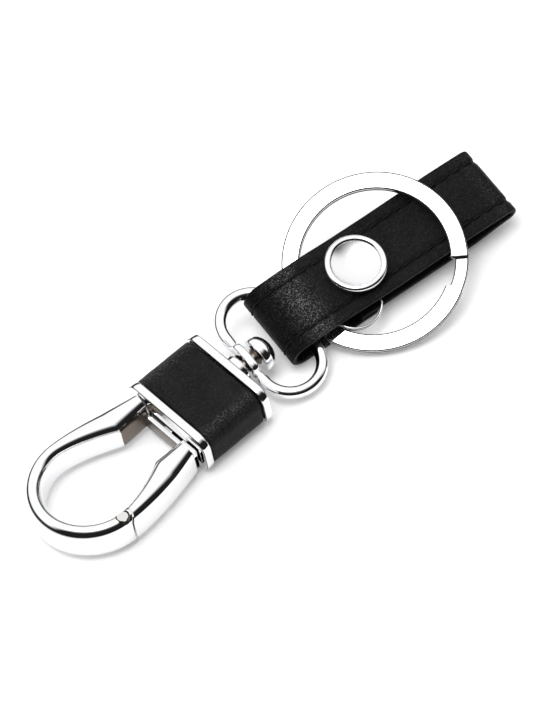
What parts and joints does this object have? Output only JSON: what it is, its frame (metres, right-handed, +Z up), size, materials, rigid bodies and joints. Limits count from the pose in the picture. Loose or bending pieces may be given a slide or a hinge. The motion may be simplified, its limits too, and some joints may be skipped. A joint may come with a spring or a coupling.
{
  "type": "leather carabiner keychain",
  "caption": "Keychain with a gated hook on a leather-wrapped block, a swivelling oval ring, and a leather snap strap that holds a flat split ring and a small ring.",
  "frame": {"origin": "middle of the bottom face of the end plate that carries the hook, on the table", "axes": "+X along the swivel axis from the hook to the strap, +Y across to the side away from the gate, +Z up from the table"},
  "size_m": [0.1111, 0.034, 0.014],
  "materials": {
    "polished_chrome": "mirror polished chrome plating",
    "polished_steel": "polished steel",
    "cast_zinc": "as-cast zinc alloy, hidden",
    "nickelled_brass": "nickel-plated brass",
    "black_leather": "fine-grained black leather, satin",
    "black_thread": "black sewing thread"
  },
  "bodies": {
    "block": {"core_block": "cast_zinc", "end_plate_hook": "polished_chrome", "end_plate_swivel": "polished_chrome", "leather_sleeve": "black_leather", "hook_frame": "polished_chrome", "gate_pin": "polished_steel", "gate_spring": "polished_steel", "swivel_post": "polished_steel", "swivel_collar": "polished_chrome"},
    "gate": {"gate": "polished_chrome"},
    "swivel": {"swivel_ring": "polished_chrome"},
    "strap": {"strap_band": "black_leather", "stitch_band_near": "black_thread", "stitch_band_far": "black_thread", "snap_cap": "polished_chrome", "snap_rivet": "nickelled_brass", "snap_socket": "nickelled_brass"},
    "flap": {"strap_flap": "black_leather", "snap_stud": "nickelled_brass", "snap_back_cap": "nickelled_brass"},
    "key_ring": {"key_ring": "polished_chrome"},
    "small_ring": {"small_ring": "polished_steel"}
  },
  "joints": [
    {"name": "gate_hinge", "type": "hinge", "parent": "block", "child": "gate", "pos_m": [-0.02058, -0.01058, 0.00485], "axis": [0, 0, 1], "range_deg": [0, 26], "stiffness_Nm_per_rad": 0.03, "springref_deg": -28.65},
    {"name": "swivel_turn", "type": "hinge", "parent": "block", "child": "swivel", "pos_m": [0.0192, 0, 0.0048], "axis": [1, 0, 0], "continuous": true},
    {"name": "strap_swing", "type": "hinge", "parent": "swivel", "child": "strap", "pos_m": [0.03138, 0.00152, 0.00515], "axis": [0.0611, 0.9726, 0.2245], "range_deg": [-18, 18]},
    {"name": "flap_open", "type": "hinge", "parent": "strap", "child": "flap", "pos_m": [0.03074, 0.00234, 0.0019], "axis": [0.1063, 0.9689, 0.2237], "range_deg": [0, 60]},
    {"name": "key_ring_turn", "type": "hinge", "parent": "strap", "child": "key_ring", "pos_m": [0.04998, -0.00214, 0.00722], "axis": [-0.215, -0.2722, 0.9379], "continuous": true},
    {"name": "small_ring_turn", "type": "hinge", "parent": "strap", "child": "small_ring", "pos_m": [0.04188, -0.00478, 0.00457], "axis": [-0.0093, -0.3085, 0.9512], "continuous": true}
  ]
}
